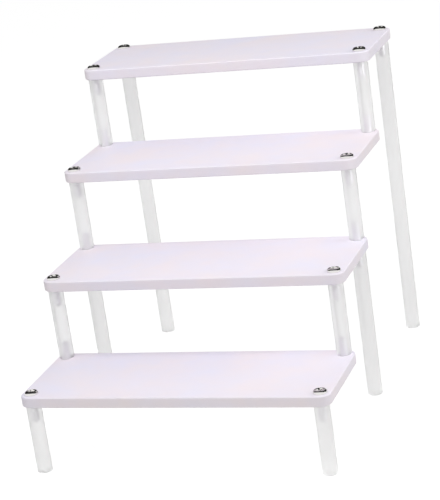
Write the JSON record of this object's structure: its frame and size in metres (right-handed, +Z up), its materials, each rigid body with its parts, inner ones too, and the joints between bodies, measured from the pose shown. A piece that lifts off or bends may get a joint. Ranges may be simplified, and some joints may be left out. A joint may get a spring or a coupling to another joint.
{
  "type": "tiered shelf riser",
  "caption": "Stepped shelf riser: opal acrylic shelves with rounded corners, each higher and further back than the last, on clear round rods held by pan-head cross-recess screws.",
  "frame": {"origin": "on the floor, under the middle of the whole riser", "axes": "+Z up, +X to the right along the shelves, +Y from the lowest shelf at the front to the highest at the back"},
  "size_m": [0.25, 0.313, 0.2723],
  "materials": {
    "opal_acrylic": "polished, faint lavender white",
    "clear_acrylic": "polished, clear",
    "plated_steel": "bright plated"
  },
  "bodies": {
    "root": {"shelf_1": "opal_acrylic", "shelf_2": "opal_acrylic", "shelf_3": "opal_acrylic", "shelf_4": "opal_acrylic", "front_leg_left": "clear_acrylic", "front_leg_right": "clear_acrylic", "post_1_left": "clear_acrylic", "post_1_right": "clear_acrylic", "post_2_left": "clear_acrylic", "post_2_right": "clear_acrylic", "post_3_left": "clear_acrylic", "post_3_right": "clear_acrylic", "middle_leg_left": "clear_acrylic", "middle_leg_right": "clear_acrylic", "rear_leg_left": "clear_acrylic", "rear_leg_right": "clear_acrylic", "screws_shelf_1_top": "plated_steel", "screws_shelf_2_top": "plated_steel", "screws_shelf_3_top": "plated_steel", "screws_shelf_4_top": "plated_steel", "screws_shelf_1_under": "plated_steel", "screws_shelf_3_under": "plated_steel", "studs_shelf_2": "plated_steel"}
  },
  "joints": []
}
